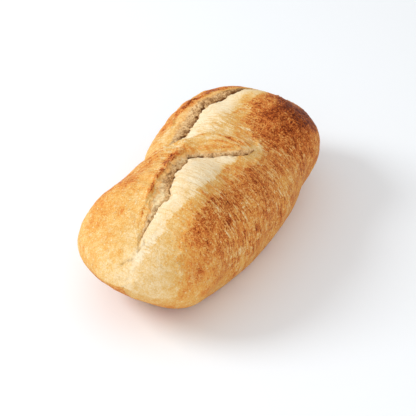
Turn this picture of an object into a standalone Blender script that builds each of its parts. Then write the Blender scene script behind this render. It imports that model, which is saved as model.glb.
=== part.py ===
"""A sourdough batard with two overlapping slashes, as one solid.

Metres, +Z up. The origin is under the middle of the loaf, on the surface that it lies on. +X runs
along the loaf to its darker end, and +Y is the side where the slashes lift their crust. Angles in a
section go from +Y up over the crown to -Y.
"""

import math

import bmesh
import bpy
import numpy as np

LENGTH = 0.241
SPINE_Y = -0.0108
# How full the loaf is before its ends draw in: (x, reach to +Y, reach to -Y, height of the crown).
BODY = (
    (-0.120, 0.0730, 0.0500, 0.0829),
    (-0.095, 0.0800, 0.0507, 0.0766),
    (-0.070, 0.0664, 0.0472, 0.0825),
    (-0.045, 0.0543, 0.0490, 0.0828),
    (-0.020, 0.0476, 0.0512, 0.0774),
    (0.005, 0.0603, 0.0518, 0.0745),
    (0.030, 0.0647, 0.0490, 0.0740),
    (0.055, 0.0690, 0.0500, 0.0767),
    (0.080, 0.0704, 0.0572, 0.0823),
    (0.100, 0.0776, 0.0516, 0.0795),
    (0.120, 0.0747, 0.0489, 0.0767),
)
# How square the outline is from above, at each end of each side. 2 is an ellipse.
NEAR_LEFT, NEAR_RIGHT, FAR_LEFT, FAR_RIGHT = 2.36, 4.18, 4.16, 2.04
# How round a section is, above and below its widest level. 1 is an ellipse and less is squarer.
UPPER_ROUND, LOWER_ROUND = 0.98, 1.04
WIDEST_AT = 0.4875
# The crown's height passes into the underside's over this sine of the section's angle.
TURN_UNDER = 0.65
# How blunt the crown and the underside stay close to the near tip and the far tip, from 0 to 1.
CROWN_BLUNTNESS = (1.0, 0.68)
UNDERSIDE_BLUNTNESS = (0.26, 0.75)
DRAW_IN_POWER = 1.5
# How far the dough has settled flat on the surface under it, and the rounding beside the flat.
SETTLE, FOOT_ROUNDING = 0.0170, 0.003

# Each slash is rows of (x, y, gap, depth): the edge of its pale side, how wide it gapes, how deep it is.
NEAR_SLASH = (
    (-0.110, -0.0155, 0.0000, 0.0000),
    (-0.099, -0.0108, 0.0016, 0.0012),
    (-0.086, -0.0100, 0.0028, 0.0024),
    (-0.076, -0.0105, 0.0062, 0.0045),
    (-0.067, -0.0130, 0.0110, 0.0064),
    (-0.058, -0.0096, 0.0095, 0.0062),
    (-0.046, -0.0068, 0.0064, 0.0054),
    (-0.030, -0.0056, 0.0067, 0.0050),
    (-0.017, -0.0022, 0.0028, 0.0036),
    (-0.008, -0.0141, 0.0030, 0.0034),
    (-0.002, -0.0222, 0.0030, 0.0034),
    (0.005, -0.0292, 0.0028, 0.0030),
    (0.020, -0.0336, 0.0000, 0.0000),
)
FAR_SLASH = (
    (-0.014, 0.0140, 0.0000, 0.0000),
    (-0.005, 0.0185, 0.0029, 0.0022),
    (0.010, 0.0196, 0.0075, 0.0046),
    (0.028, 0.0209, 0.0118, 0.0062),
    (0.042, 0.0238, 0.0106, 0.0060),
    (0.052, 0.0232, 0.0088, 0.0052),
    (0.062, 0.0172, 0.0092, 0.0052),
    (0.074, 0.0134, 0.0067, 0.0044),
    (0.087, 0.0100, 0.0025, 0.0028),
    (0.102, 0.0058, 0.0000, 0.0000),
)
# The crust lifted at a slash: its height as a share of the gap, and how far from the gap it fades.
LIP_SHARE, LIP_FADE = 0.19, 0.010
# How the torn wall curves up from the crevice, and how far the crevice rounds into the pale side.
WALL_CURVE, PALE_EDGE = 0.8, 0.0013
# The pale side swells beside the crevice: height, distance from it, reach. It swells where the gap
# is wide, fully from this width.
PALE_SWELL = (0.0021, 0.016, 0.012)
SWELLING_GAP = 0.008
# The relief fades out down the flanks, from this sine of the section's angle.
RELIEF_FADE = 0.4

# The bridge of crust between the slashes: rows of (y, x) along its crest.
BRIDGE_CREST = (
    (-0.042, 0.0240),
    (-0.028, 0.0135),
    (-0.014, 0.0090),
    (0.000, 0.0030),
    (0.012, -0.0115),
    (0.026, -0.0235),
    (0.045, -0.0320),
)
BRIDGE_HEIGHT, BRIDGE_NEAR_SIDE, BRIDGE_FAR_SIDE = 0.0045, 0.012, 0.0045
# Where it rises from the crust on the -Y side and sinks into it on the +Y side: (none, full) in y.
BRIDGE_RISE, BRIDGE_FALL = (-0.042, -0.022), (0.075, 0.045)

# The unevenness of hand-shaped dough: rows of (height, waves per metre along x, y and z, phase).
LUMPS = (
    (0.0007, (11.0, 7.0, 9.0), 0.6),
    (0.0006, (-16.0, 13.0, 5.0), 2.1),
    (0.0004, (24.0, 17.0, -19.0), 4.4),
)
LUMPS_FROM_HEIGHT = 0.02

# The grid: stations along the loaf, crowded at its middle, and lines round it. The lines are counted
# from the bottom up the +Y side, over the crown and down: to the foot, the far slash's lip and
# crevice, the near slash's lip and crevice, the foot and the bottom again.
STATIONS, STATION_CROWDING = 96, 0.35
LINES = (4, 13, 4, 8, 4, 17, 4)
LINE_CROWDING, CROWDING_REACH = 5.0, 0.006
# Past a slash's ends its two lines stay this far apart, and the foot's lines stay this far in angle
# from the bottom one.
LEAST_GAP, LEAST_FOOT = 0.0025, 0.2
# Normals and lines close to a tip are taken at this turn from it, in radians.
NORMAL_TIP, LINE_TIP = 0.05, 0.03
# Steps to which a section is sampled, round half of it.
FINE_STEPS = 720

CRUST_COLOUR = (0.62, 0.33, 0.12, 1.0)
CRUST_ROUGHNESS = 0.6


def bell(offset, reach):
    return np.exp(-((offset / reach) ** 2))


def smooth_step(value, low, high):
    share = np.clip((value - low) / (high - low), 0.0, 1.0)
    return share * share * (3.0 - 2.0 * share)


def along(rows, at, column):
    """A smooth curve through one column of the rows, read at places on their first column."""
    knots = np.array([row[0] for row in rows])
    values = np.array([row[column] for row in rows])
    slopes = np.gradient(values, knots)
    span = np.clip(np.searchsorted(knots, at) - 1, 0, len(knots) - 2)
    width = knots[span + 1] - knots[span]
    t = np.clip((at - knots[span]) / width, 0.0, 1.0)
    rise = values[span + 1] - values[span]
    bend = (slopes[span] * width - rise) * (1.0 - t) - (slopes[span + 1] * width - rise) * t
    return values[span] + rise * t + t * (1.0 - t) * bend


def slope_of(rows, at):
    """The slope of the curve through the second column of the rows."""
    step = 0.001
    return (along(rows, at + step, 1) - along(rows, at - step, 1)) / (2.0 * step)


def end_taper(x, near_power, far_power):
    """The share of a full section that is left at x, from 1 at the middle to 0 at the tips."""
    share = np.abs(2.0 * x / LENGTH)
    power = np.where(x < 0.0, near_power, far_power)
    return np.sqrt(np.clip(1.0 - share**power, 0.0, 1.0))


def draw_in(x, taper, bluntness):
    """The share of the crown's or the underside's height that is left at x."""
    near, far = bluntness
    blunt = np.where(x < 0.0, near, far)
    return taper * (blunt + (1.0 - blunt) * taper**DRAW_IN_POWER)


def raw_section(turn, angle):
    """x, y and z of the plain loaf before it settles. turn goes from 0 to pi, tip to tip."""
    x = -0.5 * LENGTH * np.cos(turn) + np.zeros_like(angle)
    side, rise = np.cos(angle), np.sin(angle)
    left = end_taper(x, NEAR_LEFT, FAR_LEFT)
    right = end_taper(x, NEAR_RIGHT, FAR_RIGHT)
    taper = right + (left - right) * (0.5 + 0.5 * side)
    reach = np.where(side > 0.0, along(BODY, x, 1), along(BODY, x, 2))
    crown = along(BODY, x, 3)
    roundness = np.where(rise > 0.0, UPPER_ROUND, LOWER_ROUND)
    y = SPINE_Y + reach * taper * np.sign(side) * np.abs(side) ** roundness
    widest = WIDEST_AT * crown
    over = (crown - widest) * draw_in(x, taper, CROWN_BLUNTNESS)
    under = (widest + SETTLE) * draw_in(x, taper, UNDERSIDE_BLUNTNESS)
    height = under + (over - under) * smooth_step(rise, -TURN_UNDER, TURN_UNDER)
    z = widest + height * np.sign(rise) * np.abs(rise) ** roundness
    return x, y, z


def plain_loaf(turn, angle):
    """The loaf with no slashes, flat where it has settled."""
    x, y, z = raw_section(turn, angle)
    rounded = (z + FOOT_ROUNDING) ** 2 / (4.0 * FOOT_ROUNDING)
    settled = np.where(z < -FOOT_ROUNDING, 0.0, np.where(z > FOOT_ROUNDING, z, rounded))
    return np.stack([x, y, settled], axis=-1)


def outward(turn, angle):
    """The unit normals of the plain loaf."""
    step = 0.001
    inner = np.clip(turn, NORMAL_TIP, math.pi - NORMAL_TIP)
    lengthwise = plain_loaf(inner + step, angle) - plain_loaf(inner - step, angle)
    crosswise = plain_loaf(inner, angle + step) - plain_loaf(inner, angle - step)
    normal = np.cross(crosswise, lengthwise)
    return normal / np.linalg.norm(normal, axis=-1, keepdims=True)


def slash_relief(x, y, rows):
    """The height that a slash adds: a crevice at its pale edge, the torn wall and the lifted lip."""
    away = (y - along(rows, x, 1)) / np.sqrt(1.0 + slope_of(rows, x) ** 2)
    gap = np.maximum(along(rows, x, 2), 1e-5)
    depth, lip = along(rows, x, 3), LIP_SHARE * gap
    torn = -depth + (depth + lip) * np.clip(away / gap, 0.0, 1.0) ** WALL_CURVE
    lifted = lip * np.exp(-np.maximum(away - gap, 0.0) / LIP_FADE)
    height, distance, reach = PALE_SWELL
    swell = height * bell(away + distance, reach) * smooth_step(gap, 0.0, SWELLING_GAP)
    pale = swell - depth * np.exp(np.minimum(away, 0.0) / PALE_EDGE)
    return np.where(away < 0.0, pale, np.where(away < gap, torn, lifted))


def bridge_relief(x, y):
    """The ridge of crust between the slashes, which ends at +Y in a shoulder with a steep far side."""
    away = (x - along(BRIDGE_CREST, y, 1)) / np.sqrt(1.0 + slope_of(BRIDGE_CREST, y) ** 2)
    reach = np.where(away > 0.0, BRIDGE_FAR_SIDE, BRIDGE_NEAR_SIDE)
    ends = smooth_step(y, *BRIDGE_RISE) * smooth_step(y, *BRIDGE_FALL)
    return BRIDGE_HEIGHT * ends * bell(away, reach)


def lump_relief(points):
    """The height that the unevenness of the dough adds."""
    total = 0.0
    for height, waves, phase in LUMPS:
        total = total + height * np.sin(2.0 * math.pi * points @ np.array(waves) + phase)
    return total


def loaf_surface(turn, angle):
    """Points of the finished loaf."""
    plain = plain_loaf(turn, angle)
    x, y, z = plain[..., 0], plain[..., 1], plain[..., 2]
    relief = slash_relief(x, y, NEAR_SLASH) + slash_relief(x, y, FAR_SLASH) + bridge_relief(x, y)
    height = relief * smooth_step(np.sin(angle), 0.0, RELIEF_FADE)
    height = height + lump_relief(plain) * smooth_step(z, 0.0, LUMPS_FROM_HEIGHT)
    points = plain + height[..., None] * outward(turn, angle)
    points[..., 2] = np.maximum(points[..., 2], 0.0)
    return points


def crest_angle(x, y):
    """The angle on the upper half of the section at x where the plain loaf reaches y."""
    fine = np.linspace(0.0, math.pi, FINE_STEPS + 1)
    reached = plain_loaf(math.acos(-2.0 * x / LENGTH), fine)[:, 1]
    return np.interp(-y, -reached, fine)


def foot_angles(turn):
    """The angles where the flat of the foot starts and ends, which close up under the tips."""
    fine = np.linspace(-0.5 * math.pi, 0.0, FINE_STEPS // 2 + 1)
    left = np.interp(-FOOT_ROUNDING, raw_section(turn, fine)[2], fine)
    right = np.interp(-FOOT_ROUNDING, raw_section(turn, math.pi - fine)[2], fine)
    least = -0.5 * math.pi + LEAST_FOOT
    return max(left, least), math.pi - max(right, least)


def slash_angles(x, rows):
    """The angles of a slash's lip and crevice at x. Beyond its ends they stay what they are there."""
    x = min(max(x, rows[0][0]), rows[-1][0])
    y, gap = along(rows, x, 1), max(along(rows, x, 2), LEAST_GAP)
    return crest_angle(x, y + gap * math.sqrt(1.0 + slope_of(rows, x) ** 2)), crest_angle(x, y)


def line_angles(turn):
    """Where the grid's lines run at one station: along each slash and the foot, crowded at a crevice."""
    turn = min(max(turn, LINE_TIP), math.pi - LINE_TIP)
    x = -0.5 * LENGTH * math.cos(turn)
    fine = np.linspace(-0.5 * math.pi, 1.5 * math.pi, 2 * FINE_STEPS + 1)
    steps = np.linalg.norm(np.diff(plain_loaf(turn, fine), axis=0), axis=1)
    run = np.concatenate([[0.0], np.cumsum(steps)])
    foot_start, foot_end = foot_angles(turn)
    far_lip, far_crevice = slash_angles(x, FAR_SLASH)
    near_lip, near_crevice = slash_angles(x, NEAR_SLASH)
    crowding = 1.0
    for crevice in (far_crevice, near_crevice):
        distance = np.abs(run - np.interp(crevice, fine, run))
        crowding = crowding + LINE_CROWDING * np.exp(-distance / CROWDING_REACH)
    measure = np.concatenate([[0.0], np.cumsum(0.5 * (crowding[1:] + crowding[:-1]) * steps)])
    seams = (fine[0], foot_start, far_lip, far_crevice, near_lip, near_crevice, foot_end, fine[-1])
    marks = np.interp(seams, fine, measure)
    wanted = []
    for low, high, count in zip(marks, marks[1:], LINES):
        wanted.append(np.linspace(low, high, count, endpoint=False))
    return np.interp(np.concatenate(wanted), measure, fine)


def station_turn(station):
    """The turn of a station, from 0 at the near tip to pi at the far tip."""
    share = station / STATIONS
    return math.pi * (share + STATION_CROWDING * math.sin(2.0 * math.pi * share) / (2.0 * math.pi))


def grid_place(vertex):
    """The station and the line that a vertex of the unit sphere stands for."""
    station = round(math.acos(max(-1.0, min(1.0, -vertex.co.z))) / math.pi * STATIONS)
    line = round(math.atan2(vertex.co.x, vertex.co.y) / (2.0 * math.pi) * sum(LINES))
    return station, line % sum(LINES)


def make_loaf(collection):
    """A sphere of stations and lines, with every vertex moved to its place on the loaf."""
    form = bmesh.new()
    bmesh.ops.create_uvsphere(form, u_segments=sum(LINES), v_segments=STATIONS, radius=1.0)
    turns, angles = [], []
    tables = [line_angles(station_turn(station)) for station in range(STATIONS + 1)]
    for vertex in form.verts:
        station, line = grid_place(vertex)
        turns.append(station_turn(station))
        angles.append(tables[station][line])
    points = loaf_surface(np.array(turns), np.array(angles))
    points[:, :2] -= 0.5 * (points[:, :2].max(axis=0) + points[:, :2].min(axis=0))
    for vertex, place in zip(form.verts, points):
        vertex.co = place
    bmesh.ops.recalc_face_normals(form, faces=form.faces)
    mesh = bpy.data.meshes.new("loaf")
    form.to_mesh(mesh)
    form.free()
    mesh.shade_smooth()
    mesh.materials.append(crust_material())
    loaf = bpy.data.objects.new("loaf", mesh)
    collection.objects.link(loaf)
    return loaf


def crust_material():
    material = bpy.data.materials.new("crust")
    material.use_nodes = True
    shader = material.node_tree.nodes["Principled BSDF"]
    shader.inputs["Base Color"].default_value = CRUST_COLOUR
    shader.inputs["Roughness"].default_value = CRUST_ROUGHNESS
    shader.inputs["Metallic"].default_value = 0.0
    return material


def main():
    for old in list(bpy.data.objects):
        bpy.data.objects.remove(old)
    collection = bpy.data.collections.new("sourdough_loaf")
    bpy.context.scene.collection.children.link(collection)
    make_loaf(collection)


main()
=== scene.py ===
"""The looks of a sourdough batard: torn crumb, pale floury crust and baked brown crust.

Metres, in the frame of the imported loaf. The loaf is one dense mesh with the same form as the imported
solid, plus the ragged tears, folds, pores and blisters that are too fine for the solid. Fields that
say how baked or how torn each place is are kept on the mesh, and the material reads them.
"""

import math

import bpy
import numpy as np
from mathutils import Matrix, Vector, kdtree, noise


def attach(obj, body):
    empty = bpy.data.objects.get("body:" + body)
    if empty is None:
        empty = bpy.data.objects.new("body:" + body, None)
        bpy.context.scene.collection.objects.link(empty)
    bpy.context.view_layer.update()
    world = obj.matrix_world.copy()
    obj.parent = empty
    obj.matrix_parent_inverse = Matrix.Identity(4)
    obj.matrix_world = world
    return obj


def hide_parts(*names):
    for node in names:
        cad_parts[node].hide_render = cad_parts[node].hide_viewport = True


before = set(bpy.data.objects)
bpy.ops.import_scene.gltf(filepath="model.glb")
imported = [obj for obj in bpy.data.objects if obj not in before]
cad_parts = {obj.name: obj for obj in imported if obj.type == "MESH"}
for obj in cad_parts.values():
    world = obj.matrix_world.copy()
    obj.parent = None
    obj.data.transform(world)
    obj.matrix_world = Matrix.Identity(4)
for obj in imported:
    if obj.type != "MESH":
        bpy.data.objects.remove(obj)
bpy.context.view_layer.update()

# --------------------
# The form of the loaf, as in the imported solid.

LENGTH = 0.241
SPINE_Y = -0.0108
# How full the loaf is before its ends draw in: (x, reach to +Y, reach to -Y, height of the crown).
BODY = (
    (-0.120, 0.0730, 0.0500, 0.0829),
    (-0.095, 0.0800, 0.0507, 0.0766),
    (-0.070, 0.0664, 0.0472, 0.0825),
    (-0.045, 0.0543, 0.0490, 0.0828),
    (-0.020, 0.0476, 0.0512, 0.0774),
    (0.005, 0.0603, 0.0518, 0.0745),
    (0.030, 0.0647, 0.0490, 0.0740),
    (0.055, 0.0690, 0.0500, 0.0767),
    (0.080, 0.0704, 0.0572, 0.0823),
    (0.100, 0.0776, 0.0516, 0.0795),
    (0.120, 0.0747, 0.0489, 0.0767),
)
# How blunt each end is on each flank.
NEAR_LEFT, NEAR_RIGHT, FAR_LEFT, FAR_RIGHT = 2.36, 4.18, 4.16, 2.04
UPPER_ROUND, LOWER_ROUND = 0.98, 1.04
WIDEST_AT = 0.4875
TURN_UNDER = 0.65
CROWN_BLUNTNESS = (1.0, 0.68)
UNDERSIDE_BLUNTNESS = (0.26, 0.75)
DRAW_IN_POWER = 1.5
SETTLE, FOOT_ROUNDING = 0.0170, 0.003

# Each slash is rows of (x, y, gap, depth): the edge of its pale side, how wide it gapes and how
# deep it is.
NEAR_SLASH = (
    (-0.110, -0.0155, 0.0000, 0.0000),
    (-0.099, -0.0108, 0.0016, 0.0012),
    (-0.086, -0.0100, 0.0028, 0.0024),
    (-0.076, -0.0105, 0.0062, 0.0045),
    (-0.067, -0.0130, 0.0110, 0.0064),
    (-0.058, -0.0096, 0.0095, 0.0062),
    (-0.046, -0.0068, 0.0064, 0.0054),
    (-0.030, -0.0056, 0.0067, 0.0050),
    (-0.017, -0.0022, 0.0028, 0.0036),
    (-0.008, -0.0141, 0.0030, 0.0034),
    (-0.002, -0.0222, 0.0030, 0.0034),
    (0.005, -0.0292, 0.0028, 0.0030),
    (0.020, -0.0336, 0.0000, 0.0000),
)
FAR_SLASH = (
    (-0.014, 0.0140, 0.0000, 0.0000),
    (-0.005, 0.0185, 0.0029, 0.0022),
    (0.010, 0.0196, 0.0075, 0.0046),
    (0.028, 0.0209, 0.0118, 0.0062),
    (0.042, 0.0238, 0.0106, 0.0060),
    (0.052, 0.0232, 0.0088, 0.0052),
    (0.062, 0.0172, 0.0092, 0.0052),
    (0.074, 0.0134, 0.0067, 0.0044),
    (0.087, 0.0100, 0.0025, 0.0028),
    (0.102, 0.0058, 0.0000, 0.0000),
)
NO_GAP = 1e-5
LIP_SHARE, LIP_FADE = 0.19, 0.010
WALL_CURVE, PALE_EDGE = 0.8, 0.0013
PALE_SWELL = (0.0021, 0.016, 0.012)
SWELLING_GAP = 0.008
RELIEF_FADE = 0.4

# The bridge of crust between the slashes: rows of (y, x) along its crest.
BRIDGE_CREST = (
    (-0.042, 0.0240),
    (-0.028, 0.0135),
    (-0.014, 0.0090),
    (0.000, 0.0030),
    (0.012, -0.0115),
    (0.026, -0.0235),
    (0.045, -0.0320),
)
BRIDGE_HEIGHT, BRIDGE_NEAR_SIDE, BRIDGE_FAR_SIDE = 0.0045, 0.012, 0.0045
BRIDGE_RISE, BRIDGE_FALL = (-0.042, -0.022), (0.075, 0.045)

# Low waves in the form: (height, waves per metre, phase).
LUMPS = (
    (0.0007, (11.0, 7.0, 9.0), 0.6),
    (0.0006, (-16.0, 13.0, 5.0), 2.1),
    (0.0004, (24.0, 17.0, -19.0), 4.4),
)
LUMPS_FROM_HEIGHT = 0.02

# The grid of the dense loaf: stations along it, and lines round it from each seam to the next.
STATIONS, STATION_CROWDING = 332, 0.30
LINES = (9, 86, 14, 44, 24, 106, 9)
LINE_CROWDING, CROWDING_REACH = 2.2, 0.006
LEAST_GAP, LEAST_FOOT = 0.0025, 0.2
NORMAL_TIP, LINE_TIP = 0.05, 0.03
FINE_STEPS = 720


def bell(offset, reach):
    return np.exp(-((offset / reach) ** 2))


def smooth_step(value, low, high):
    share = np.clip((value - low) / (high - low), 0.0, 1.0)
    return share * share * (3.0 - 2.0 * share)


def along(rows, at, column):
    """A smooth curve through one column of the rows, read at places on their first column."""
    knots = np.array([row[0] for row in rows])
    values = np.array([row[column] for row in rows])
    slopes = np.gradient(values, knots)
    span = np.clip(np.searchsorted(knots, at) - 1, 0, len(knots) - 2)
    width = knots[span + 1] - knots[span]
    t = np.clip((at - knots[span]) / width, 0.0, 1.0)
    rise = values[span + 1] - values[span]
    bend = (slopes[span] * width - rise) * (1.0 - t) - (slopes[span + 1] * width - rise) * t
    return values[span] + rise * t + t * (1.0 - t) * bend


def slope_of(rows, at):
    step = 0.001
    return (along(rows, at + step, 1) - along(rows, at - step, 1)) / (2.0 * step)


def end_taper(x, near_power, far_power):
    share = np.abs(2.0 * x / LENGTH)
    power = np.where(x < 0.0, near_power, far_power)
    return np.sqrt(np.clip(1.0 - share**power, 0.0, 1.0))


def draw_in(x, taper, bluntness):
    near, far = bluntness
    blunt = np.where(x < 0.0, near, far)
    return taper * (blunt + (1.0 - blunt) * taper**DRAW_IN_POWER)


def raw_section(turn, angle):
    x = -0.5 * LENGTH * np.cos(turn) + np.zeros_like(angle)
    side, rise = np.cos(angle), np.sin(angle)
    left = end_taper(x, NEAR_LEFT, FAR_LEFT)
    right = end_taper(x, NEAR_RIGHT, FAR_RIGHT)
    taper = right + (left - right) * (0.5 + 0.5 * side)
    reach = np.where(side > 0.0, along(BODY, x, 1), along(BODY, x, 2))
    crown = along(BODY, x, 3)
    roundness = np.where(rise > 0.0, UPPER_ROUND, LOWER_ROUND)
    y = SPINE_Y + reach * taper * np.sign(side) * np.abs(side) ** roundness
    widest = WIDEST_AT * crown
    over = (crown - widest) * draw_in(x, taper, CROWN_BLUNTNESS)
    under = (widest + SETTLE) * draw_in(x, taper, UNDERSIDE_BLUNTNESS)
    height = under + (over - under) * smooth_step(rise, -TURN_UNDER, TURN_UNDER)
    z = widest + height * np.sign(rise) * np.abs(rise) ** roundness
    return x, y, z


def plain_loaf(turn, angle):
    x, y, z = raw_section(turn, angle)
    rounded = (z + FOOT_ROUNDING) ** 2 / (4.0 * FOOT_ROUNDING)
    settled = np.where(z < -FOOT_ROUNDING, 0.0, np.where(z > FOOT_ROUNDING, z, rounded))
    return np.stack([x, y, settled], axis=-1)


def outward(turn, angle):
    step = 0.001
    inner = np.clip(turn, NORMAL_TIP, math.pi - NORMAL_TIP)
    lengthwise = plain_loaf(inner + step, angle) - plain_loaf(inner - step, angle)
    crosswise = plain_loaf(inner, angle + step) - plain_loaf(inner, angle - step)
    normal = np.cross(crosswise, lengthwise)
    return normal / np.linalg.norm(normal, axis=-1, keepdims=True)


def distance_from(rows, at, across):
    """How far a place is from the curve through the rows, with its sign."""
    return (across - along(rows, at, 1)) / np.sqrt(1.0 + slope_of(rows, at) ** 2)


def slash_relief(x, y, rows):
    away = distance_from(rows, x, y)
    gap = np.maximum(along(rows, x, 2), NO_GAP)
    depth, lip = along(rows, x, 3), LIP_SHARE * gap
    torn = -depth + (depth + lip) * np.clip(away / gap, 0.0, 1.0) ** WALL_CURVE
    lifted = lip * np.exp(-np.maximum(away - gap, 0.0) / LIP_FADE)
    height, distance, reach = PALE_SWELL
    swell = height * bell(away + distance, reach) * smooth_step(gap, 0.0, SWELLING_GAP)
    pale = swell - depth * np.exp(np.minimum(away, 0.0) / PALE_EDGE)
    return np.where(away < 0.0, pale, np.where(away < gap, torn, lifted))


def bridge_relief(x, y):
    away = distance_from(BRIDGE_CREST, y, x)
    reach = np.where(away > 0.0, BRIDGE_FAR_SIDE, BRIDGE_NEAR_SIDE)
    ends = smooth_step(y, *BRIDGE_RISE) * smooth_step(y, *BRIDGE_FALL)
    return BRIDGE_HEIGHT * ends * bell(away, reach)


def lump_relief(points):
    total = 0.0
    for height, waves, phase in LUMPS:
        total = total + height * np.sin(2.0 * math.pi * points @ np.array(waves) + phase)
    return total


def crest_angle(x, y):
    fine = np.linspace(0.0, math.pi, FINE_STEPS + 1)
    reached = plain_loaf(math.acos(-2.0 * x / LENGTH), fine)[:, 1]
    return np.interp(-y, -reached, fine)


def foot_angles(turn):
    fine = np.linspace(-0.5 * math.pi, 0.0, FINE_STEPS // 2 + 1)
    left = np.interp(-FOOT_ROUNDING, raw_section(turn, fine)[2], fine)
    right = np.interp(-FOOT_ROUNDING, raw_section(turn, math.pi - fine)[2], fine)
    least = -0.5 * math.pi + LEAST_FOOT
    return max(left, least), math.pi - max(right, least)


def slash_angles(x, rows):
    x = min(max(x, rows[0][0]), rows[-1][0])
    y, gap = along(rows, x, 1), max(along(rows, x, 2), LEAST_GAP)
    return crest_angle(x, y + gap * math.sqrt(1.0 + slope_of(rows, x) ** 2)), crest_angle(x, y)


def line_angles(turn):
    turn = min(max(turn, LINE_TIP), math.pi - LINE_TIP)
    x = -0.5 * LENGTH * math.cos(turn)
    fine = np.linspace(-0.5 * math.pi, 1.5 * math.pi, 2 * FINE_STEPS + 1)
    steps = np.linalg.norm(np.diff(plain_loaf(turn, fine), axis=0), axis=1)
    run = np.concatenate([[0.0], np.cumsum(steps)])
    foot_start, foot_end = foot_angles(turn)
    far_lip, far_crevice = slash_angles(x, FAR_SLASH)
    near_lip, near_crevice = slash_angles(x, NEAR_SLASH)
    crowding = 1.0
    for crevice in (far_crevice, near_crevice):
        distance = np.abs(run - np.interp(crevice, fine, run))
        crowding = crowding + LINE_CROWDING * np.exp(-distance / CROWDING_REACH)
    measure = np.concatenate([[0.0], np.cumsum(0.5 * (crowding[1:] + crowding[:-1]) * steps)])
    seams = (fine[0], foot_start, far_lip, far_crevice, near_lip, near_crevice, foot_end, fine[-1])
    marks = np.interp(seams, fine, measure)
    wanted = []
    for low, high, count in zip(marks, marks[1:], LINES):
        wanted.append(np.linspace(low, high, count, endpoint=False))
    return np.interp(np.concatenate(wanted), measure, fine), fine, run


# --------------------
# Where things are on the loaf. A name with AT holds a place along the loaf and a reach. Other pairs
# say where a thing starts and where it is whole.

# Noises over the loaf: (size of the features, seed, octaves).
WANDER_NOISE, FOLD_NOISE, EAR_NOISE = (0.012, 3, 2), (0.011, 35, 2), (0.010, 41, 2)
BORDER_NOISE, FINE_BORDER_NOISE = (0.013, 31, 2), (0.0045, 32, 2)
CRUMB_NOISE, PORE_NOISE = (0.0024, 5, 3), (0.0019, 9, 2)
SKIN_NOISE, STREAK_NOISE = (0.0085, 7, 3), (0.0024, 8, 2)
FRACTAL_INCREMENT, LACUNARITY, BASIS = 0.9, 2.1, "PERLIN_ORIGINAL"
SEED_STEPS = (17.31, 5.17, 11.73)

WANDER = 0.001
# The crust of the left flank reaches a little down the near wall, at one place and at the end.
CRUST_OVER_WALL, CRUST_OVER_WALL_AT = 0.0017, (-0.065, 0.011)
CRUST_OVER_END, CRUST_OVER_END_FROM = 0.0011, (-0.088, -0.098)
# The crust of the left flank starts at the top of each wall, and past the far slash more softly.
LEFT_FROM, LEFT_WHOLE = -0.0016, -0.0006
PAST_FAR, LEFT_SOONER, LEFT_LATER = (0.094, 0.112), 0.012, 0.006
# The far half starts at the bridge, and more softly low on the right flank.
BEYOND_BRIDGE, BEYOND_BLEND, SOFTER_BLEND, SOFTER_FROM = 0.004, 0.002, 0.008, (0.020, 0.045)
BRIDGE_LEFT, BRIDGE_RIGHT = (0.034, 0.018), (-0.040, -0.026)
UNDERNEATH = (0.1, 0.8)
WALL_FOOT, WALL_TOP, WALL_GAP, TOP_WANDER = (-0.0002, 0.0003), (-0.0002, 0.0004), (0.0002, 0.0012), 0.4
# The far wall is baked golden further down where it meets the bridge.
FAR_RISE, FAR_RISE_MORE, FAR_RISE_AT = 0.80, 0.26, (0.030, 0.016)
FAR_OFF = 1.0


def field(points, size, seed, octaves):
    """Smooth noise from about -1 to 1 over an array of points, with features of that size."""
    shift = Vector([seed * step for step in SEED_STEPS])
    values = []
    for place in (points.reshape(-1, 3) / size).tolist():
        spot = Vector(place) + shift
        values.append(noise.fractal(spot, FRACTAL_INCREMENT, LACUNARITY, octaves, noise_basis=BASIS))
    return np.array(values).reshape(points.shape[:-1])


def grid():
    """Turn, angle and distance round the loaf from its crown, for every station and line."""
    turns, angles, rounds = [], [], []
    for station in range(1, STATIONS):
        share = station / STATIONS
        crowded = STATION_CROWDING * math.sin(2.0 * math.pi * share) / (2.0 * math.pi)
        turn = math.pi * (share + crowded)
        row, fine, run = line_angles(turn)
        crown = np.interp(0.5 * math.pi, fine, run)
        turns.append(np.full(len(row), turn))
        angles.append(row)
        rounds.append(np.interp(row, fine, run) - crown)
    return np.array(turns), np.array(angles), np.array(rounds)


turn, angle, round_ = grid()
plain = plain_loaf(turn, angle)
px, py, pz = plain[..., 0], plain[..., 1], plain[..., 2]
normal = outward(turn, angle)
upper = smooth_step(np.sin(angle), 0.0, RELIEF_FADE)
off_floor = smooth_step(pz, 0.0, LUMPS_FROM_HEIGHT)


def at_x(place, reach):
    """1 at one place along the loaf, fading over the reach."""
    return bell(px - place, reach)


def distance_to_path(path):
    """The distance in plan from each vertex to a line through the path's points."""
    least = np.full(px.shape, FAR_OFF)
    for (x0, y0), (x1, y1) in zip(path, path[1:]):
        long = (x1 - x0) ** 2 + (y1 - y0) ** 2
        t = np.clip(((px - x0) * (x1 - x0) + (py - y0) * (y1 - y0)) / long, 0.0, 1.0)
        away = np.hypot(px - x0 - t * (x1 - x0), py - y0 - t * (y1 - y0))
        least = np.minimum(least, away)
    return np.where(np.sin(angle) > 0.0, least, FAR_OFF)


def inside(rows):
    """Which vertices are between the ends of the rows."""
    return (px > rows[0][0]) & (px < rows[-1][0])


def formed_loaf():
    """The loaf with its slashes, bridge and lumps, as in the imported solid."""
    relief = slash_relief(px, py, NEAR_SLASH) + slash_relief(px, py, FAR_SLASH) + bridge_relief(px, py)
    height = relief * upper + lump_relief(plain) * off_floor
    formed = plain + height[..., None] * normal
    formed[..., 2] = np.maximum(formed[..., 2], 0.0)
    return formed


base = formed_loaf()
middle = 0.5 * (base[..., :2].max(axis=(0, 1)) + base[..., :2].min(axis=(0, 1)))

bridge_away = distance_from(BRIDGE_CREST, py, px)
wander = WANDER * field(plain, *WANDER_NOISE)


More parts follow.
